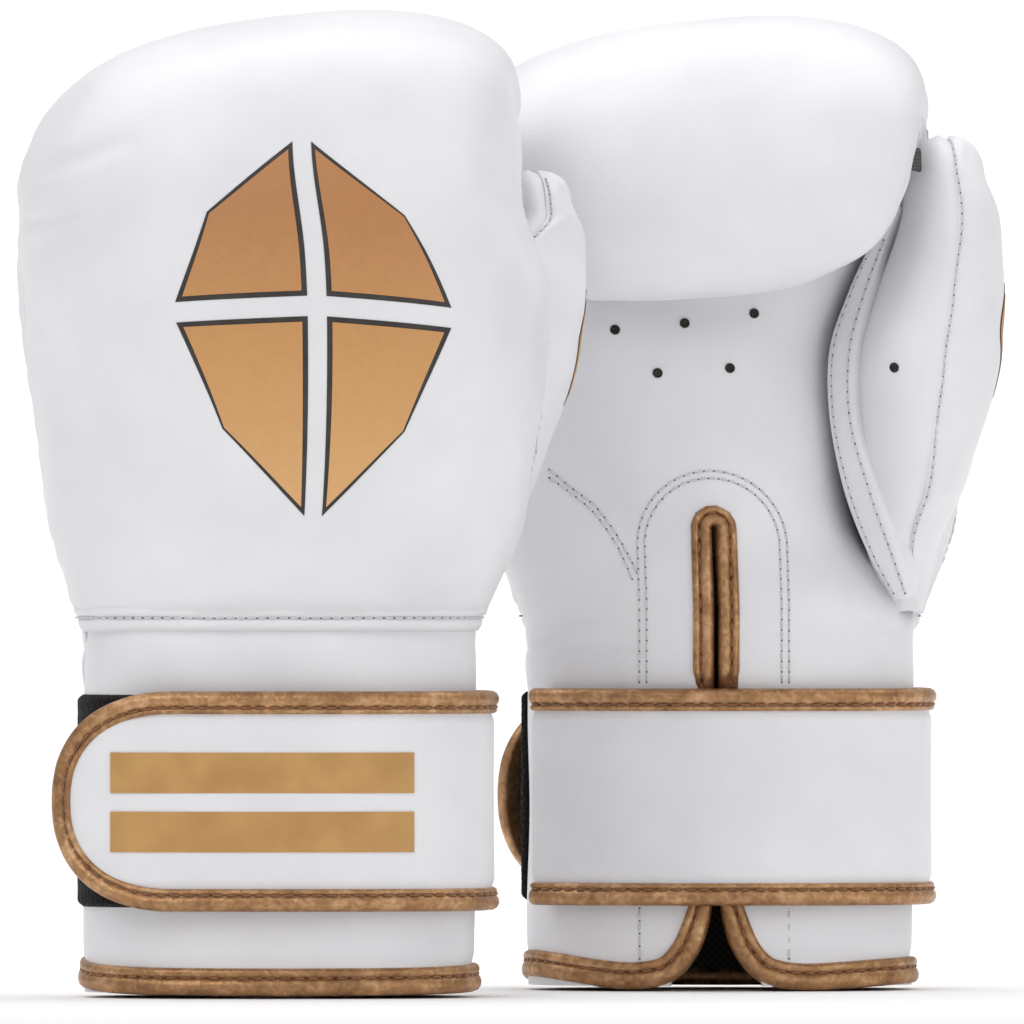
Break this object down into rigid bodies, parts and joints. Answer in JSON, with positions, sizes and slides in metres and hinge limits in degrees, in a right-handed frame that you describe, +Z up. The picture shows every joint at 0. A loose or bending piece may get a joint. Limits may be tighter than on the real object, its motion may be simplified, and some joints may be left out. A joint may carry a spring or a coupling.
{
  "type": "pair of boxing gloves",
  "caption": "Pair of padded hook-and-loop training gloves for boxing, standing on their cuffs, with attached thumbs, slit cuffs, bound edges and wrap-round wrist straps.",
  "frame": {"origin": "on the floor plane, under the middle of the pair's bounding box", "axes": "+Z up along the gloves from hem to fingertips, +X from the left glove to the right one and towards both thumbs, +Y from the left glove in front to the right glove behind"},
  "size_m": [0.295, 0.2384, 0.2923],
  "materials": {
    "white_leather": "satin fine-grain artificial leather",
    "bronze_binding": "metallic foil artificial leather, fine grain",
    "tan_print": "matte print on leather",
    "foam": "moulded foam",
    "lining_cloth": "woven lining",
    "black_fastener": "hook and loop tape",
    "black_webbing": "knitted elastic"
  },
  "bodies": {
    "left_glove": {"left_back_cover": "white_leather", "left_back_padding": "foam", "left_finger_padding": "foam", "left_palm_panel": "white_leather", "left_palm_padding": "foam", "left_hand_lining": "lining_cloth", "left_grip_bar": "foam", "left_thumb_cover": "white_leather", "left_thumb_panel": "white_leather", "left_thumb_padding": "foam", "left_thumb_lining": "lining_cloth", "left_thumb_gusset": "white_leather", "left_thumb_lock": "black_webbing", "left_back_emblem": "tan_print", "left_wrist_welt": "white_leather", "left_cuff_cover": "white_leather", "left_cuff_padding": "foam", "left_cuff_lining": "lining_cloth", "left_slit_binding": "bronze_binding", "left_slit_lips": "bronze_binding", "left_hem_binding": "bronze_binding", "left_loop_patch": "black_fastener", "left_strap_anchor": "white_leather", "left_strap_anchor_binding": "bronze_binding"},
    "left_strap_side": {"left_strap_side": "white_leather", "left_strap_side_binding": "bronze_binding"},
    "left_strap_flap": {"left_strap_flap": "white_leather", "left_strap_flap_binding": "bronze_binding", "left_hook_patch": "black_fastener", "left_strap_label": "tan_print"},
    "right_glove": {"right_back_cover": "white_leather", "right_back_padding": "foam", "right_finger_padding": "foam", "right_palm_panel": "white_leather", "right_palm_padding": "foam", "right_hand_lining": "lining_cloth", "right_grip_bar": "foam", "right_thumb_cover": "white_leather", "right_thumb_panel": "white_leather", "right_thumb_padding": "foam", "right_thumb_lining": "lining_cloth", "right_thumb_gusset": "white_leather", "right_thumb_lock": "black_webbing", "right_back_emblem": "tan_print", "right_wrist_welt": "white_leather", "right_cuff_cover": "white_leather", "right_cuff_padding": "foam", "right_cuff_lining": "lining_cloth", "right_slit_binding": "bronze_binding", "right_slit_lips": "bronze_binding", "right_hem_binding": "bronze_binding", "right_loop_patch": "black_fastener", "right_strap_anchor": "white_leather", "right_strap_anchor_binding": "bronze_binding"},
    "right_strap_side": {"right_strap_side": "white_leather", "right_strap_side_binding": "bronze_binding"},
    "right_strap_flap": {"right_strap_flap": "white_leather", "right_strap_flap_binding": "bronze_binding", "right_hook_patch": "black_fastener", "right_strap_label": "tan_print"}
  },
  "joints": [
    {"name": "left_strap_unwrap", "type": "hinge", "parent": "left_glove", "child": "left_strap_side", "pos_m": [-0.01422, -0.03605, 0.0585], "axis": [0, 0, 1], "range_deg": [0, 85]},
    {"name": "left_flap_lift", "type": "hinge", "parent": "left_strap_side", "child": "left_strap_flap", "pos_m": [-0.01422, -0.08795, 0.0585], "axis": [0, 0, 1], "range_deg": [0, 90]},
    {"name": "right_strap_unwrap", "type": "hinge", "parent": "right_glove", "child": "right_strap_side", "pos_m": [0.11778, 0.03605, 0.0585], "axis": [0, 0, -1], "range_deg": [0, 85]},
    {"name": "right_flap_lift", "type": "hinge", "parent": "right_strap_side", "child": "right_strap_flap", "pos_m": [0.11778, 0.08795, 0.0585], "axis": [0, 0, -1], "range_deg": [0, 90]},
    {"name": "right_glove_apart", "type": "slide", "parent": "left_glove", "child": "right_glove", "axis": [1, 0, 0], "range_m": [0, 0.2]}
  ]
}
